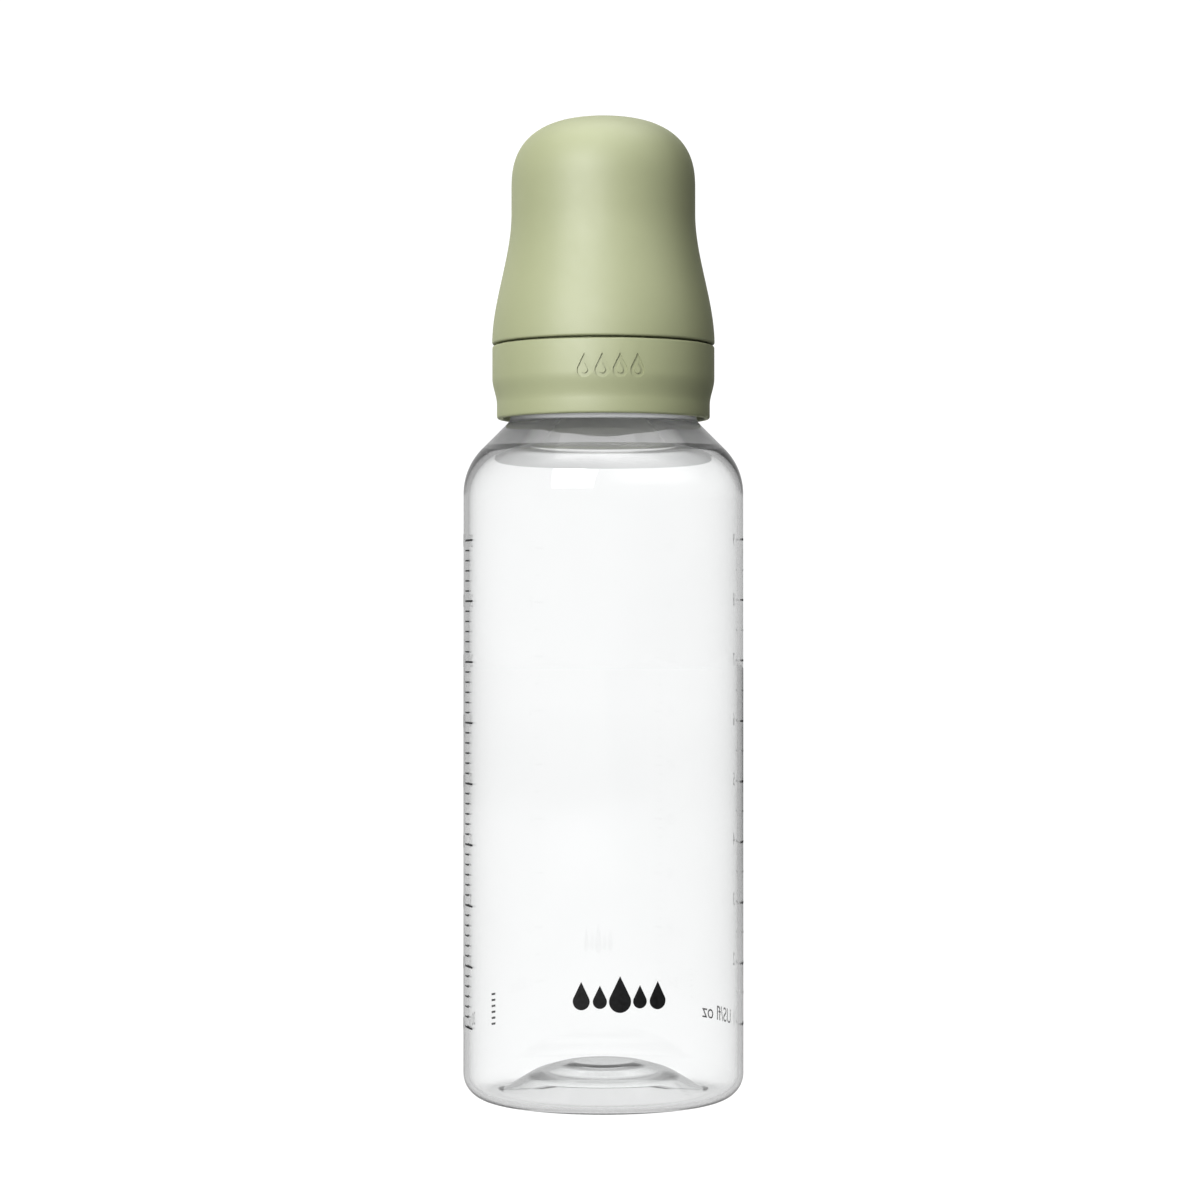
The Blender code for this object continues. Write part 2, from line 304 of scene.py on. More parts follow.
def carved(mesh, cutter):
    """The mesh with the cutter's space taken out of it."""
    whole = bpy.data.objects.new("whole", mesh)
    tool = bpy.data.objects.new("tool", cutter)
    for item in (whole, tool):
        bpy.context.collection.objects.link(item)
    cut = whole.modifiers.new("cut", "BOOLEAN")
    cut.operation = "DIFFERENCE"
    cut.solver = "EXACT"
    cut.object = tool
    depsgraph = bpy.context.evaluated_depsgraph_get()
    result = bpy.data.meshes.new_from_object(whole.evaluated_get(depsgraph))
    result.name = mesh.name
    for item in (whole, tool):
        bpy.data.objects.remove(item)
    bpy.data.meshes.remove(mesh)
    bpy.data.meshes.remove(cutter)
    return result


def wrapped(name, flat, radius, inwards, outwards):
    """A flat drawing bent round a wall as a thin solid. x is arc length from the front, and y is height."""
    bmesh.ops.remove_doubles(flat, verts=flat.verts, dist=1e-7)
    bmesh.ops.recalc_face_normals(flat, faces=flat.faces)
    xs = [v.co.x for v in flat.verts]
    cut = math.ceil(min(xs) / STRIP)
    while cut * STRIP < max(xs):
        geometry = flat.verts[:] + flat.edges[:] + flat.faces[:]
        bmesh.ops.bisect_plane(flat, geom=geometry, plane_co=(cut * STRIP, 0, 0), plane_no=(1, 0, 0))
        cut += 1
    for face in flat.faces:
        if face.normal.z < 0:
            face.normal_flip()
    lifted = bmesh.ops.extrude_face_region(flat, geom=flat.faces[:], use_keep_orig=True)
    tops = {item for item in lifted["geom"] if isinstance(item, bmesh.types.BMVert)}
    for vertex in flat.verts:
        r = radius + (outwards if vertex in tops else -inwards)
        angle = vertex.co.x / radius - math.pi / 2
        vertex.co = (r * math.cos(angle), r * math.sin(angle), vertex.co.y)
    bmesh.ops.recalc_face_normals(flat, faces=flat.faces)
    mesh = bpy.data.meshes.new(name)
    flat.to_mesh(mesh)
    flat.free()
    return mesh


def thread_height(z, angle, start_deg, widths):
    """How far the screw ridge stands out of its wall at this height and angle."""
    wall_width, crest_width = widths
    turn_deg = (math.degrees(angle) - start_deg) % 360
    height = 0
    while turn_deg <= 360 * THREAD_TURNS:
        from_end = min(turn_deg, 360 * THREAD_TURNS - turn_deg)
        off = abs(z - THREAD_START_Z - PITCH * turn_deg / 360)
        flank = (wall_width / 2 - off) / ((wall_width - crest_width) / 2)
        height = max(height, smooth(flank) * smooth(from_end / THREAD_FADE_DEG))
        turn_deg += 360
    return THREAD_DEPTH * height


# ---------------------------------------------------------------- bottle

def shoulder(radius, start_z, arc_radius, cone_deg, neck_radius, fillet, steps):
    """Points from the body's wall up over the shoulder and its cone to the neck."""
    over = arc((radius - arc_radius, start_z), arc_radius, 0, cone_deg, steps)
    cone_r, cone_z = over[-1]
    corner_z = cone_z + (cone_r - neck_radius) / math.tan(math.radians(cone_deg))
    centre = (neck_radius + fillet, corner_z + fillet * math.tan(math.radians(cone_deg / 2)))
    return over + arc(centre, fillet, 180 + cone_deg, 180, steps // 2)


def punt(ring_r, ring_z, thickness):
    """Points up the raised base from the standing ring to its flat middle, and so to the axis."""
    ring = (ring_r, ring_z)
    crest = (PUNT_CREST_RADIUS, PUNT_CREST_Z + thickness)
    edge = (PUNT_FLAT_RADIUS, PUNT_FLAT_Z + thickness)
    middle = (0, PUNT_FLAT_Z + thickness)
    points = bend((BODY_RADIUS, ring_z), ring, crest, RING_BEND, 8)
    points += bend(ring, crest, edge, PUNT_BEND, 12) + bend(crest, edge, middle, PUNT_BEND, 12)
    return points + [middle]


def bottle_outline():
    ring_outer = BODY_RADIUS - BASE_FILLET
    ring_inner = ring_outer - RING_WIDTH
    inner_radius = BODY_RADIUS - BODY_WALL
    inner_fillet = BASE_FILLET - BASE_THICKNESS

    outline = list(reversed(punt(ring_inner, 0, 0)))
    outline += arc((ring_outer, BASE_FILLET), BASE_FILLET, -90, 0, 20)
    outline += rows(BODY_RADIUS, BASE_FILLET, SHOULDER_START, ROW_STEP)[1:-1]
    outline += shoulder(BODY_RADIUS, SHOULDER_START, SHOULDER_ARC, CONE_DEG, NECK_RADIUS, NECK_FILLET, 24)
    neck_low = outline[-1][1]
    outline += rows(NECK_RADIUS, neck_low, MOUTH_Z - EDGE, THREAD_STEP)[1:-1]
    outline += rounded(
        [
            (NECK_RADIUS, MOUTH_Z - EDGE * 2, 0),
            (NECK_RADIUS, MOUTH_Z, EDGE * 1.5),
            (NECK_BORE, MOUTH_Z, EDGE * 1.5),
            (NECK_BORE, MOUTH_Z - EDGE * 3, 0),
        ]
    )[1:]
    inside = (inner_radius, INNER_SHOULDER_START, INNER_SHOULDER_ARC, INNER_CONE_DEG)
    outline += reversed(shoulder(*inside, NECK_BORE, NECK_INNER_FILLET, 20))
    outline += reversed(rows(inner_radius, BASE_FILLET, INNER_SHOULDER_START, ROW_STEP)[1:-1])
    outline += arc((inner_radius - inner_fillet, BASE_FILLET), inner_fillet, 0, -90, 16)
    return outline + punt(ring_inner, BASE_THICKNESS, PUNT_THICKNESS)


def neck_relief(r, z, angle):
    """The screw ridge on the outside of the neck."""
    if abs(r - NECK_RADIUS) > 1e-7:
        return 0
    return thread_height(z, angle, NECK_THREAD_DEG, NECK_THREAD_WIDTHS)


def make_bottle(finish, frosted_shaded_finish):
    mesh = turned("bottle_body", bottle_outline(), even_angles(BOTTLE_SIDES), neck_relief)
    made = add_object("bottle_body", mesh, finish, "bottle")
    # The neck's faces under the collar take the frosted plastic, whose grey tint is painted shade.
    mesh.materials.append(frosted_shaded_finish)
    for face in mesh.polygons:
        low, high = INNER_FROST_SHADE_Z if face.normal.xy.dot(face.center.xy) < 0 else OUTER_FROST_SHADE_Z
        if low < face.center.z < high:
            face.material_index = 1
    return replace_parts(made, "bottle")


# ---------------------------------------------------------------- teat

def breast(radius, convex, neck_radius, concave, steps):
    """Points up the teat's breast: a convex arc that leaves its base upright, then a concave one."""
    centre_r = radius - convex
    meet = math.degrees(math.acos((neck_radius + concave - centre_r) / (convex + concave)))
    reach = math.radians(meet)
    neck_centre = (
        centre_r + (convex + concave) * math.cos(reach),
        BREAST_Z + (convex + concave) * math.sin(reach),
    )
    points = arc((centre_r, BREAST_Z), convex, 0, meet, steps)
    return points + arc(neck_centre, concave, 180 + meet, 180, steps)[1:]


def tip(radius, neck_radius, steps):
    """Points round the teat's tip, from its neck to the feeding hole."""
    neck_deg = math.degrees(math.acos(neck_radius / radius))
    hole_deg = math.degrees(math.acos(FEED_HOLE / radius))
    return arc((0, TIP_Z), radius, -neck_deg, hole_deg, steps)


def teat_outline():
    flange_top = FLANGE_Z + FLANGE_THICKNESS
    bead_z = COLLAR_TOP_Z + GAP
    groove = LIP_HOLE - GAP
    bore = TEAT_BEAD_RADIUS - TEAT_WALL
    core_neck = NIPPLE_NECK_RADIUS - TEAT_WALL
    outline = rounded(
        [
            (bore, FLANGE_Z + 0.001, 0),
            (bore, FLANGE_Z, 0.0004),
            (FLANGE_RADIUS, FLANGE_Z, 0.0005),
            (FLANGE_RADIUS, flange_top, 0.0005),
            (groove, flange_top, 0.0003),
            (groove, bead_z, 0.0003),
            (TEAT_BEAD_RADIUS, bead_z, 0.0006),
            (TEAT_BEAD_RADIUS, BREAST_Z, 0),
        ]
    )[:-1]
    outline += breast(TEAT_BEAD_RADIUS, BREAST_CONVEX, NIPPLE_NECK_RADIUS, BREAST_CONCAVE, 28)
    outline += tip(TIP_RADIUS, NIPPLE_NECK_RADIUS, 36)
    outline += reversed(tip(TIP_RADIUS - TEAT_WALL, core_neck, 24))
    outline += reversed(breast(bore, BREAST_CONVEX - TEAT_WALL, core_neck, BREAST_CONCAVE + TEAT_WALL, 20))
    return outline


def vent_drill():
    """A bar across the teat that cuts its two air vents."""
    bar = bmesh.new()
    size = {"radius1": VENT_RADIUS, "radius2": VENT_RADIUS, "depth": VENT_DRILL_LENGTH}
    bmesh.ops.create_cone(bar, cap_ends=True, segments=VENT_DRILL_SIDES, **size)
    for vertex in bar.verts:
        vertex.co = (vertex.co.z, vertex.co.x, vertex.co.y + VENT_Z)
    bmesh.ops.recalc_face_normals(bar, faces=bar.faces)
    mesh = bpy.data.meshes.new("vent_drill")
    bar.to_mesh(mesh)
    bar.free()
    return mesh


def make_teat(finish):
    mesh = carved(turned("teat_body", teat_outline(), even_angles(TEAT_SIDES)), vent_drill())
    made = add_object("teat_body", mesh, finish, "teat")
    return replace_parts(made, "teat")


# ---------------------------------------------------------------- collar

def collar_outline():
    spigot_bore = SPIGOT_RADIUS - SPIGOT_WALL
    lip_z = COLLAR_TOP_Z - LIP_THICKNESS
    outline = rounded(
        [
            (COLLAR_BORE, COLLAR_BOTTOM_Z + 0.001, 0),
            (COLLAR_BORE, COLLAR_BOTTOM_Z, 0.0003),
            (COLLAR_GRIP_RADIUS, COLLAR_BOTTOM_Z, 0.0005),
            (COLLAR_GRIP_RADIUS, COLLAR_STEP[0], 0),
        ]
    )[1:-1]
    outline += ramp((COLLAR_GRIP_RADIUS, COLLAR_STEP[0]), (COLLAR_RADIUS, COLLAR_STEP[1]), 24, along=1)
    outline += rounded(
        [
            (COLLAR_RADIUS, COLLAR_STEP[1], 0),
            (COLLAR_RADIUS, COLLAR_TOP_Z, 0.0004),
            (SPIGOT_RADIUS, COLLAR_TOP_Z, 0.0002),
            (SPIGOT_RADIUS, SPIGOT_BEAD_Z - 2 * SPIGOT_BEAD, 0.0004),
            (SPIGOT_RADIUS + SPIGOT_BEAD, SPIGOT_BEAD_Z, 0.0003),
            (SPIGOT_RADIUS, SPIGOT_BEAD_Z + 2 * SPIGOT_BEAD, 0.0003),
            (SPIGOT_RADIUS, SPIGOT_TOP_Z, 0.0003),
            (spigot_bore, SPIGOT_TOP_Z, 0.0003),
            (spigot_bore, COLLAR_TOP_Z, 0.0003),
            (LIP_HOLE, COLLAR_TOP_Z, 0.0003),
            (LIP_HOLE, lip_z, 0.0003),
            (COLLAR_BORE, lip_z, 0.0002),
            (COLLAR_BORE, lip_z - 0.001, 0),
        ]
    )[1:-1]
    outline += reversed(rows(COLLAR_BORE, COLLAR_BOTTOM_Z + EDGE * 2, lip_z - EDGE, THREAD_STEP))
    return outline


def collar_relief(r, z, angle):
    """The screw ridge in the collar's bore."""
    if abs(r - COLLAR_BORE) < 1e-7:
        return -thread_height(z, angle, COLLAR_THREAD_DEG, COLLAR_THREAD_WIDTHS)
    return 0


def make_collar(finish):
    mesh = turned("collar_ring", collar_outline(), even_angles(COLLAR_SIDES), collar_relief)
    mark = bmesh.new()
    middle = math.radians(COLLAR_MARK_DEG) * COLLAR_RADIUS
    for i in range(COLLAR_MARK_DROPS):
        x = middle + COLLAR_MARK_STEP * (i - (COLLAR_MARK_DROPS - 1) / 2)
        outside = drop(x, COLLAR_MARK_Z, COLLAR_MARK_SIZE)
        inside = drop(x, COLLAR_MARK_Z, COLLAR_MARK_INNER_SIZE)
        for k in range(len(outside)):
            add_polygon(mark, (outside[k - 1], outside[k], inside[k], inside[k - 1]))
    mesh = carved(mesh, wrapped("collar_mark", mark, COLLAR_RADIUS, COLLAR_MARK_DEPTH, GAP))
    made = add_object("collar_ring", mesh, finish, "collar")
    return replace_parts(made, "collar")


# ---------------------------------------------------------------- dome cap

def cap_side(offset, start_z, skirt_steps, dome_steps):
    """The cap's side from the skirt at start_z up to the top, moved inwards by offset."""
    low, high = CAP_WAIST_Z
    waist = CAP_WAIST_RADIUS - offset
    rise = CAP_TOP_Z - offset - high
    points = []
    for i in range(skirt_steps + 1):
        z = start_z + (low - start_z) * i / skirt_steps
        flare = 1 - smooth((z - CAP_BOTTOM_Z) / (low - CAP_BOTTOM_Z))
        points.append((waist + (CAP_SKIRT_RADIUS - CAP_WAIST_RADIUS) * flare, z))
    for i in range(dome_steps):
        angle = math.pi / 2 * i / dome_steps
        r = waist * math.cos(angle) ** (2 / CAP_DOME_POWER)
        points.append((r, high + rise * math.sin(angle) ** (2 / CAP_DOME_POWER)))
    return points + [(0, CAP_TOP_Z - offset)]


def cap_outline():
    seat_z = CAP_BOTTOM_Z + CAP_SEAT_HEIGHT
    bead_z = CAP_BOTTOM_Z + CAP_BEAD_HEIGHT
    outline = cap_side(0, CAP_BOTTOM_Z + EDGE * 1.5, 60, 56)
    outline += reversed(cap_side(CAP_WALL, seat_z + EDGE, 40, 40))
    outline += rounded(
        [
            (CAP_SKIRT_RADIUS - CAP_WALL, seat_z + EDGE * 2, 0),
            (CAP_SEAT_RADIUS, seat_z - EDGE, 0.0002),
            (CAP_SEAT_RADIUS, bead_z + 2 * CAP_BEAD, 0.0003),
            (CAP_SEAT_RADIUS - CAP_BEAD, bead_z, 0.0002),
            (CAP_SEAT_RADIUS, bead_z - 2 * CAP_BEAD, 0.0003),
            (CAP_SEAT_RADIUS, CAP_BOTTOM_Z, 0.0003),
            (CAP_SKIRT_RADIUS, CAP_BOTTOM_Z, 0.0004),
            (CAP_SKIRT_RADIUS, CAP_BOTTOM_Z + EDGE * 1.5, 0),
        ]
    )[1:-1]
    return outline


def make_cap(finish):
    mesh = turned("cap_shell", cap_outline(), even_angles(CAP_SIDES))
    made = add_object("cap_shell", mesh, finish, "dome_cap")
    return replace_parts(made, "dome_cap")


# ---------------------------------------------------------------- printed scales

ML_TOP_Z = 0.1145
ML_STEP_Z = 0.01239
ML_LINES = 9
ML_PER_LINE = 30
ML_PARTS = 6  # a short line every 5 ml
ML_LINE_DEG = (-78.0, -67.0)
ML_SHORT_DEG = (-78.0, -72.0)
ML_NUMBER_DEG = -86.0  # the numbers end here
OZ_TOP_Z = 0.1148
OZ_STEP_Z = 0.01241
OZ_LINES = 9
OZ_LINE_DEG = (80.0, 92.0)
OZ_SHORT_DEG = (86.0, 92.0)
OZ_NUMBER_DEG = 96.0  # the numbers start here
OZ_UNIT_DEG = 104.0
LINE_WEIGHT = 0.00040
SHORT_WEIGHT = 0.00032
DIGIT_SIZE = 0.0038
UNIT_SIZE = 0.0043
MARK_DEG = 6.5
MARK_Z = 0.0230  # height of the drops' round feet
MARK_DROPS = (  # how far along from the middle of the mark, and the radius of the foot
    (-0.0077, 0.0017),
    (-0.0040, 0.0014),
    (0, 0.0022),
    (0.0040, 0.0014),
    (0.0077, 0.0017),
)
CODE_DASHES = 6  # they stand where a batch code goes
CODE_DEG = (-124.5, -121.5)
CODE_LOW_Z = 0.0132
CODE_STEP = 0.00125
CODE_WEIGHT = 0.00045


def add_line(flat, span_deg, z, weight):
    """A printed line between two compass angles, in the flattened wall, where x is arc length."""
    low, high = (math.radians(a) * BODY_RADIUS for a in span_deg)
    half = weight / 2
    add_polygon(flat, [(low, z - half), (high, z - half), (high, z + half), (low, z + half)])


def add_text(flat, text, size, x, z, align):
    """Text in Blender's own font, centred on height z."""
    curve = bpy.data.curves.new("text", "FONT")
    curve.body = text
    curve.size = size
    curve.align_x = align
    curve.align_y = "CENTER"
    curve.resolution_u = 4
    holder = bpy.data.objects.new("text", curve)
    bpy.context.collection.objects.link(holder)
    depsgraph = bpy.context.evaluated_depsgraph_get()
    letters = bpy.data.meshes.new_from_object(holder.evaluated_get(depsgraph))
    letters.transform(Matrix.Translation((x, z, 0)))
    flat.from_mesh(letters)
    bpy.data.objects.remove(holder)
    bpy.data.curves.remove(curve)
    bpy.data.meshes.remove(letters)


def printed(name, flat, finish):
    """A flat drawing as ink on the bottle."""
    mesh = wrapped(name, flat, BODY_RADIUS, INK_SINK, INK_THICKNESS)
    return add_object(name, mesh, finish, "bottle")


def make_scales(finish):
    flat = bmesh.new()
    for i in range(ML_LINES):
        z = ML_TOP_Z - ML_STEP_Z * i
        add_line(flat, ML_LINE_DEG, z, LINE_WEIGHT)
        for k in range(1, ML_PARTS):
            if i < ML_LINES - 1:
                add_line(flat, ML_SHORT_DEG, z - ML_STEP_Z * k / ML_PARTS, SHORT_WEIGHT)
    printed("ml_lines", flat, finish)

    flat = bmesh.new()
    for i in range(ML_LINES):
        text = str(ML_PER_LINE * (ML_LINES - i)) + (" ml" if i == ML_LINES - 1 else "")
        x = math.radians(ML_NUMBER_DEG) * BODY_RADIUS
        add_text(flat, text, DIGIT_SIZE, x, ML_TOP_Z - ML_STEP_Z * i, "RIGHT")
    printed("ml_numbers", flat, finish)

    flat = bmesh.new()
    for i in range(OZ_LINES):
        z = OZ_TOP_Z - OZ_STEP_Z * i
        add_line(flat, OZ_LINE_DEG, z, LINE_WEIGHT)
        if i < OZ_LINES - 1:
            add_line(flat, OZ_SHORT_DEG, z - OZ_STEP_Z / 2, SHORT_WEIGHT)
    printed("oz_lines", flat, finish)

    flat = bmesh.new()
    for i in range(OZ_LINES):
        z = OZ_TOP_Z - OZ_STEP_Z * i
        add_text(flat, str(OZ_LINES - i), DIGIT_SIZE, math.radians(OZ_NUMBER_DEG) * BODY_RADIUS, z, "LEFT")
    add_text(flat, "US/fl oz", UNIT_SIZE, math.radians(OZ_UNIT_DEG) * BODY_RADIUS, z, "LEFT")
    printed("oz_numbers", flat, finish)

    flat = bmesh.new()
    for i in range(CODE_DASHES):
        add_line(flat, CODE_DEG, CODE_LOW_Z + CODE_STEP * i, CODE_WEIGHT)
    printed("code_dashes", flat, finish)

    flat = bmesh.new()
    middle = math.radians(MARK_DEG) * BODY_RADIUS
    for offset, size in MARK_DROPS:
        add_polygon(flat, drop(middle + offset, MARK_Z, size))
    printed("front_mark", flat, finish)


# ---------------------------------------------------------------- materials

PLASTIC_IOR = 1.5
SILICONE_IOR = 1.41
CLEAR_SHADOW = (0.93, 0.93, 0.93)
SILICONE_SHADOW = (0.75, 0.75, 0.73)
SILICONE_COLOURS = ((0.78, 0.78, 0.75), (0.84, 0.84, 0.82))
SAGE_COLOURS = ((0.290, 0.313, 0.170), (0.307, 0.329, 0.180))
INK_COLOURS = ((0.003, 0.003, 0.003), (0.008, 0.008, 0.009))


def new_material(name):
    """A material, its node tree and its shader."""
    made = bpy.data.materials.new(name)
    made.use_nodes = True
    tree = made.node_tree
    shader = tree.nodes["Principled BSDF"]
    return made, tree, shader


def node(tree, kind, **values):
    """A new node, with its sockets and settings given by name."""
    made = tree.nodes.new(kind)
    for key, value in values.items():
        if key in made.inputs:
            made.inputs[key].default_value = value
        else:
            setattr(made, key, value)
    return made


def noise(tree, scale, detail=2.0):
    """Noise in the object's own coordinates, so that it moves with the piece."""
    place = node(tree, "ShaderNodeTexCoord")
    made = node(tree, "ShaderNodeTexNoise", Scale=scale, Detail=detail)
    tree.links.new(place.outputs["Object"], made.inputs["Vector"])
    return made.outputs["Fac"]


def mapped(tree, source, low, high, from_low=0.3, from_high=0.7):
    """The source's range spread over low to high. Without a range of its own, it is that of noise."""
    made = node(tree, "ShaderNodeMapRange")
    made.inputs["From Min"].default_value = from_low
    made.inputs["From Max"].default_value = from_high
    made.inputs["To Min"].default_value = low
    made.inputs["To Max"].default_value = high
    tree.links.new(source, made.inputs["Value"])
    return made.outputs["Result"]


def mixed(tree, factor, first, second):
    """A colour between first and second, each given as (r, g, b)."""
    made = node(tree, "ShaderNodeMix", data_type="RGBA")
    colours = [s for s in made.inputs if s.type == "RGBA"]
    colours[0].default_value = (*first, 1)
    colours[1].default_value = (*second, 1)
    tree.links.new(factor, made.inputs["Factor"])
    return next(s for s in made.outputs if s.type == "RGBA")


def bumped(tree, shader, source, distance):
    made = node(tree, "ShaderNodeBump", Strength=1.0, Distance=distance)
    tree.links.new(source, made.inputs["Height"])
    tree.links.new(made.outputs["Normal"], shader.inputs["Normal"])


def lets_light_through(tree, shader, colour):
    """The piece's shadow is clear, as it would be with its caustics."""
    path = node(tree, "ShaderNodeLightPath")
    clear = node(tree, "ShaderNodeBsdfTransparent")
    clear.inputs["Color"].default_value = (*colour, 1)
    mix = node(tree, "ShaderNodeMixShader")
    tree.links.new(path.outputs["Is Shadow Ray"], mix.inputs[0])
    tree.links.new(shader.outputs[0], mix.inputs[1])
    tree.links.new(clear.outputs[0], mix.inputs[2])
    tree.links.new(mix.outputs[0], tree.nodes["Material Output"].inputs["Surface"])


def clear_plastic(name, clearness, smoothest, roughest):
    """Clear plastic, as grey as clearness and between the two roughnesses."""
    made, tree, shader = new_material(name)
    shader.inputs["Transmission Weight"].default_value = 1.0
    shader.inputs["IOR"].default_value = PLASTIC_IOR
    low, high = ((c - 0.01, c - 0.005, c - 0.005) for c in (clearness, clearness + 0.01))
    colour = mixed(tree, mapped(tree, noise(tree, 60), 0, 1), low, high)
    tree.links.new(colour, shader.inputs["Base Color"])
    tree.links.new(mapped(tree, noise(tree, 90, 4), smoothest, roughest), shader.inputs["Roughness"])
    bumped(tree, shader, noise(tree, 45), 0.000008)
    lets_light_through(tree, shader, CLEAR_SHADOW)
    return made


def silicone():
    """Clear silicone with a slight haze."""
    made, tree, shader = new_material("silicone")
    shader.inputs["Transmission Weight"].default_value = 0.62
    shader.inputs["IOR"].default_value = SILICONE_IOR
    colour = mixed(tree, mapped(tree, noise(tree, 120), 0, 1), *SILICONE_COLOURS)
    tree.links.new(colour, shader.inputs["Base Color"])
    tree.links.new(mapped(tree, noise(tree, 90, 3), 0.28, 0.34), shader.inputs["Roughness"])
    bumped(tree, shader, noise(tree, 60), 0.000008)
    lets_light_through(tree, shader, SILICONE_SHADOW)
    return made


def sage_plastic(name):
    made, tree, shader = new_material(name)
    shader.inputs["IOR"].default_value = PLASTIC_IOR
    shader.inputs["Specular IOR Level"].default_value = 1.0
    colour = mixed(tree, mapped(tree, noise(tree, 70, 5), 0, 1), *SAGE_COLOURS)
    tree.links.new(colour, shader.inputs["Base Color"])
    tree.links.new(mapped(tree, noise(tree, 400, 4), 0.55, 0.59), shader.inputs["Roughness"])
    bumped(tree, shader, noise(tree, 3500, 2), 0.000014)
    return made


def ink():
    made, tree, shader = new_material("ink")
    shader.inputs["Specular IOR Level"].default_value = 0.15
    colour = mixed(tree, mapped(tree, noise(tree, 1500, 3), 0, 1), *INK_COLOURS)
    tree.links.new(colour, shader.inputs["Base Color"])
    tree.links.new(mapped(tree, noise(tree, 900), 0.38, 0.55), shader.inputs["Roughness"])
    return made


# ---------------------------------------------------------------- stage, light and camera

FLOOR_GAP = 0.0001
FLOOR_Z = CAD_BOX[0].z - FLOOR_GAP
FLOOR_HALF = 6.0
FLOOR_GREY = (0.08, 0.08, 0.08)

# Brightness of the surroundings
FLOOR_LIT = 0.10  # as the light on matt surfaces
ROOM_LIT = (0.18, 0.02)  # and that of the room's left and right
ROOM_LIT_EDGE = (-0.60, 0.60)  # x of the directions between which the left turns into the right
FLOOR_SEEN = 1.02
FLOOR_MIRRORED = (0.42, 0.06)  # near the bottle and far to its right
FLOOR_MIRRORED_EDGE = (0.02, 0.30)
FLOOR_MIRRORED_INSIDE = 0.60  # in reflections inside the clear pieces
FLOOR_SHADE = 0.78  # beneath the bottle, through its clear plastic
SHADE_RADII = (BODY_RADIUS * 0.8, BODY_RADIUS)
FLOOR_THROUGH = (1.00, 1.05)  # near the bottle and far from it, through the clear plastic
FLOOR_DISTANCES = (0.3, 3.0)
ROOM_SEEN = 1.10
ROOM_THROUGH = 1.06
CEILING_GLOW = 3.9
CEILING_EDGE = (0.72, 0.92)  # sines of the heights between which the wall turns into ceiling
INSIDE_BACK_GLOW = 0.8  # of the ceiling's back half, in reflections inside the clear pieces
CEILING_MIDDLE = (-0.10, 0.15)  # y of the directions between which the front ceiling turns into the back
WALL_GLOW = 0.56
INSIDE_WALL_GLOW = (0.45, 0.75)  # at the left and at the right
INSIDE_WALL_EDGE = (-0.60, 0.60)
RIGHT_WALL_GLOW = 0.05
RIGHT_WALL_EDGE = (0.10, 0.80)
PATCH_GLOW = 1.9
PATCH_WAY = (0.64, -0.64, 0.42)  # to the front right
PATCH_EDGE = (0.70, 0.93)
PATCH_LOW = (0.08, 0.30)


def blended(tree, factor, first, second):
    """A number between first and second, each of them a number or a socket."""
    mix = node(tree, "ShaderNodeMix", data_type="FLOAT")
    slots = [s for s in mix.inputs if s.type == "VALUE"]
    tree.links.new(factor, slots[0])
    for slot, value in zip(slots[1:], (first, second)):
        if isinstance(value, bpy.types.NodeSocket):
            tree.links.new(value, slot)
        else:
            slot.default_value = value
    return next(s for s in mix.outputs if s.type == "VALUE")


def parts(tree, vector):
    """A vector's x, y and z."""
    split = node(tree, "ShaderNodeSeparateXYZ")
    tree.links.new(vector, split.inputs[0])
    return [split.outputs[axis] for axis in "XYZ"]


def over_zero(tree, source):
    """1 where the source is over zero, and 0 elsewhere."""
    made = node(tree, "ShaderNodeMath", operation="GREATER_THAN")
    tree.links.new(source, made.inputs[0])
    return made.outputs[0]


def outer_or_inner(tree, outer, inner):
    """A number that differs for light that has been through a clear piece."""
    path = node(tree, "ShaderNodeLightPath")
    return blended(tree, over_zero(tree, path.outputs["Transmission Depth"]), outer, inner)


def light_level(tree, seen, through, mirrored, lit):
    """How bright the surroundings are: seen straight, seen through the clear pieces, in a reflection, and as
    the light on a matt surface. Each is a number or a socket."""
    path = node(tree, "ShaderNodeLightPath")
    level = blended(tree, over_zero(tree, path.outputs["Glossy Depth"]), through, mirrored)
    level = blended(tree, over_zero(tree, path.outputs["Diffuse Depth"]), level, lit)
    return blended(tree, path.outputs["Is Camera Ray"], level, seen)


def shaded_floor(tree, place):
    """The floor's brightness through the clear plastic, which is lower in the bottle's own shade."""
    length = node(tree, "ShaderNodeVectorMath", operation="LENGTH")
    tree.links.new(place, length.inputs[0])
    outside = mapped(tree, length.outputs["Value"], 0, 1, *SHADE_RADII)
    open_floor = mapped(tree, length.outputs["Value"], *FLOOR_THROUGH, *FLOOR_DISTANCES)
    return blended(tree, outside, FLOOR_SHADE, open_floor)


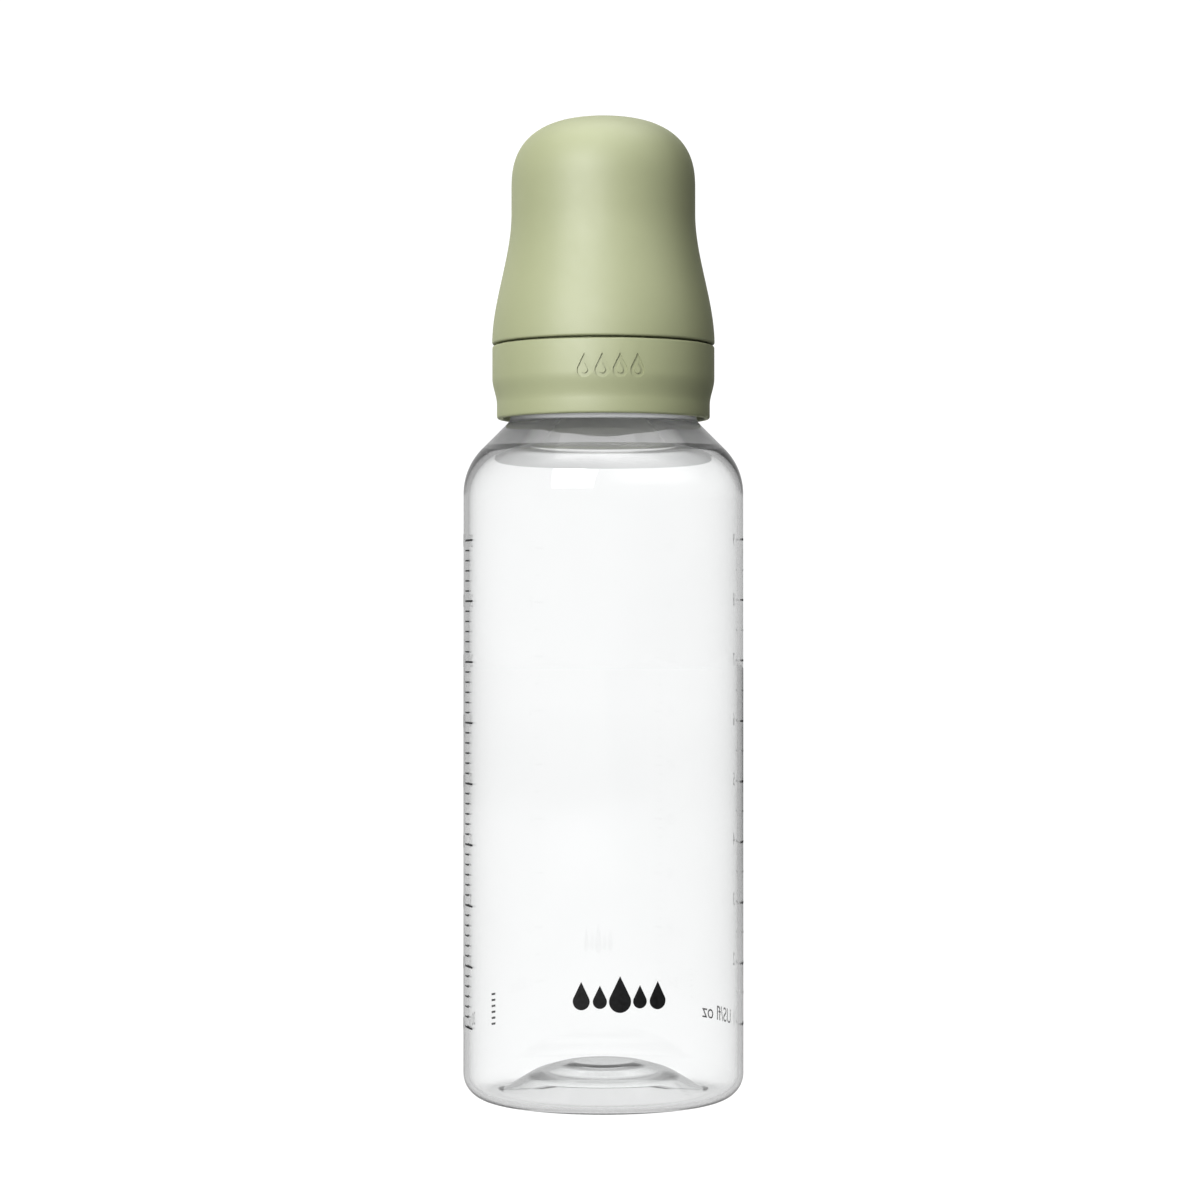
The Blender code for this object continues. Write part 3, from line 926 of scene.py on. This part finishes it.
def make_floor():
    made, tree, shader = new_material("floor")
    tree.nodes.remove(shader)
    glow = node(tree, "ShaderNodeEmission")
    place = node(tree, "ShaderNodeTexCoord").outputs["Object"]
    outer = mapped(tree, parts(tree, place)[0], *FLOOR_MIRRORED, *FLOOR_MIRRORED_EDGE)
    mirrored = outer_or_inner(tree, outer, FLOOR_MIRRORED_INSIDE)
    level = light_level(tree, FLOOR_SEEN, shaded_floor(tree, place), mirrored, FLOOR_LIT)
    tree.links.new(level, glow.inputs["Strength"])
    matte = node(tree, "ShaderNodeBsdfDiffuse")
    matte.inputs["Color"].default_value = (*FLOOR_GREY, 1)
    add = node(tree, "ShaderNodeAddShader")
    tree.links.new(glow.outputs[0], add.inputs[0])
    tree.links.new(matte.outputs[0], add.inputs[1])
    tree.links.new(add.outputs[0], tree.nodes["Material Output"].inputs["Surface"])
    mesh = bpy.data.meshes.new("floor")
    corners = [(x * FLOOR_HALF, y * FLOOR_HALF, FLOOR_Z) for x, y in ((-1, -1), (1, -1), (1, 1), (-1, 1))]
    mesh.from_pydata(corners, [], [(0, 1, 2, 3)])
    mesh.materials.append(made)
    floor = bpy.data.objects.new("floor", mesh)
    bpy.context.collection.objects.link(floor)


def bright_patch(tree, way, height):
    """1 towards the bright patch of wall and 0 away from it. way is a direction and height is its z."""
    toward = node(tree, "ShaderNodeVectorMath", operation="DOT_PRODUCT")
    tree.links.new(way, toward.inputs[0])
    toward.inputs[1].default_value = PATCH_WAY
    patch = node(tree, "ShaderNodeMath", operation="MULTIPLY")
    tree.links.new(mapped(tree, toward.outputs["Value"], 0, 1, *PATCH_EDGE), patch.inputs[0])
    tree.links.new(mapped(tree, height, 0, 1, *PATCH_LOW), patch.inputs[1])
    return patch.outputs[0]


def mirrored_room(tree, way):
    """The room in reflections: a bright ceiling and a bright patch at the front right, and a dark right wall.
    Inside the clear pieces it is plainer, and the back of the ceiling is dim."""
    x, y, z = parts(tree, way)
    high = mapped(tree, z, 0, 1, *CEILING_EDGE)
    ahead = mapped(tree, y, 1, 0, *CEILING_MIDDLE)
    inner_wall = mapped(tree, x, *INSIDE_WALL_GLOW, *INSIDE_WALL_EDGE)
    inner = blended(tree, high, inner_wall, blended(tree, ahead, INSIDE_BACK_GLOW, CEILING_GLOW))
    wall = blended(tree, mapped(tree, x, 0, 1, *RIGHT_WALL_EDGE), WALL_GLOW, RIGHT_WALL_GLOW)
    wall = blended(tree, bright_patch(tree, way, z), wall, PATCH_GLOW)
    return outer_or_inner(tree, blended(tree, high, wall, CEILING_GLOW), inner)


def make_world():
    world = bpy.data.worlds.new("studio")
    world.use_nodes = True
    tree = world.node_tree
    background = tree.nodes["Background"]
    way = node(tree, "ShaderNodeTexCoord").outputs["Generated"]
    lit = mapped(tree, parts(tree, way)[0], *ROOM_LIT, *ROOM_LIT_EDGE)
    level = light_level(tree, ROOM_SEEN, ROOM_THROUGH, mirrored_room(tree, way), lit)
    tree.links.new(level, background.inputs["Strength"])
    background.inputs["Color"].default_value = (1, 1, 1, 1)
    bpy.context.scene.world = world


LIGHT_DISTANCE = 1.0


def softbox(name, compass_deg, elevation_deg, size, power, reflected=True):
    """A rectangular light that faces the middle of the bottle. It shows in reflections only, and in none of
    them when reflected is false."""
    data = bpy.data.lights.new(name, "AREA")
    data.shape = "RECTANGLE"
    data.size, data.size_y = size
    data.energy = power
    light = bpy.data.objects.new(name, data)
    a, e = math.radians(compass_deg), math.radians(elevation_deg)
    back = Vector((math.sin(a) * math.cos(e), -math.cos(a) * math.cos(e), math.sin(e)))
    light.location = Vector((0, 0, (CAD_BOX[0].z + CAD_BOX[1].z) / 2)) + back * LIGHT_DISTANCE
    light.rotation_mode = "QUATERNION"
    light.rotation_quaternion = (-back).to_track_quat("-Z", "Y")
    light.visible_camera = False
    light.visible_transmission = False
    light.visible_glossy = reflected
    bpy.context.collection.objects.link(light)


CAMERA_DISTANCE = 0.660
CAMERA_X = -0.0007
CAMERA_Z = 0.098
AIM_Z = 0.1024
CAMERA_LENS = 96.0  # on a 36 mm sensor


def make_camera():
    data = bpy.data.cameras.new("camera")
    data.lens = CAMERA_LENS
    data.clip_start, data.clip_end = 0.01, 50
    camera = bpy.data.objects.new("camera", data)
    camera.location = (CAMERA_X, -CAMERA_DISTANCE, CAMERA_Z)
    aim = Vector((CAMERA_X, 0, AIM_Z)) - camera.location
    camera.rotation_mode = "QUATERNION"
    camera.rotation_quaternion = aim.to_track_quat("-Z", "Y")
    bpy.context.collection.objects.link(camera)
    bpy.context.scene.camera = camera


CLEAR = clear_plastic("clear_plastic", clearness=0.985, smoothest=0.0, roughest=0.02)
# Frosted plastic whose grey tint (clearness 0.42) is painted shade on the neck under the collar.
FROSTED_SHADED = clear_plastic("frosted_plastic_painted_shade", clearness=0.42, smoothest=0.38, roughest=0.44)
make_bottle(CLEAR, FROSTED_SHADED)
make_teat(silicone())
make_collar(sage_plastic("sage_collar"))
make_cap(sage_plastic("sage_cap"))
make_scales(ink())
make_floor()
make_world()
softbox("key", compass_deg=-25, elevation_deg=21, size=(0.62, 0.58), power=12.6)
softbox("overhead", compass_deg=-20, elevation_deg=78, size=(0.8, 0.8), power=2.2)
softbox("back_left", compass_deg=-145, elevation_deg=18, size=(0.6, 0.6), power=4.0, reflected=False)
make_camera()
bpy.context.scene.view_settings.view_transform = "Standard"
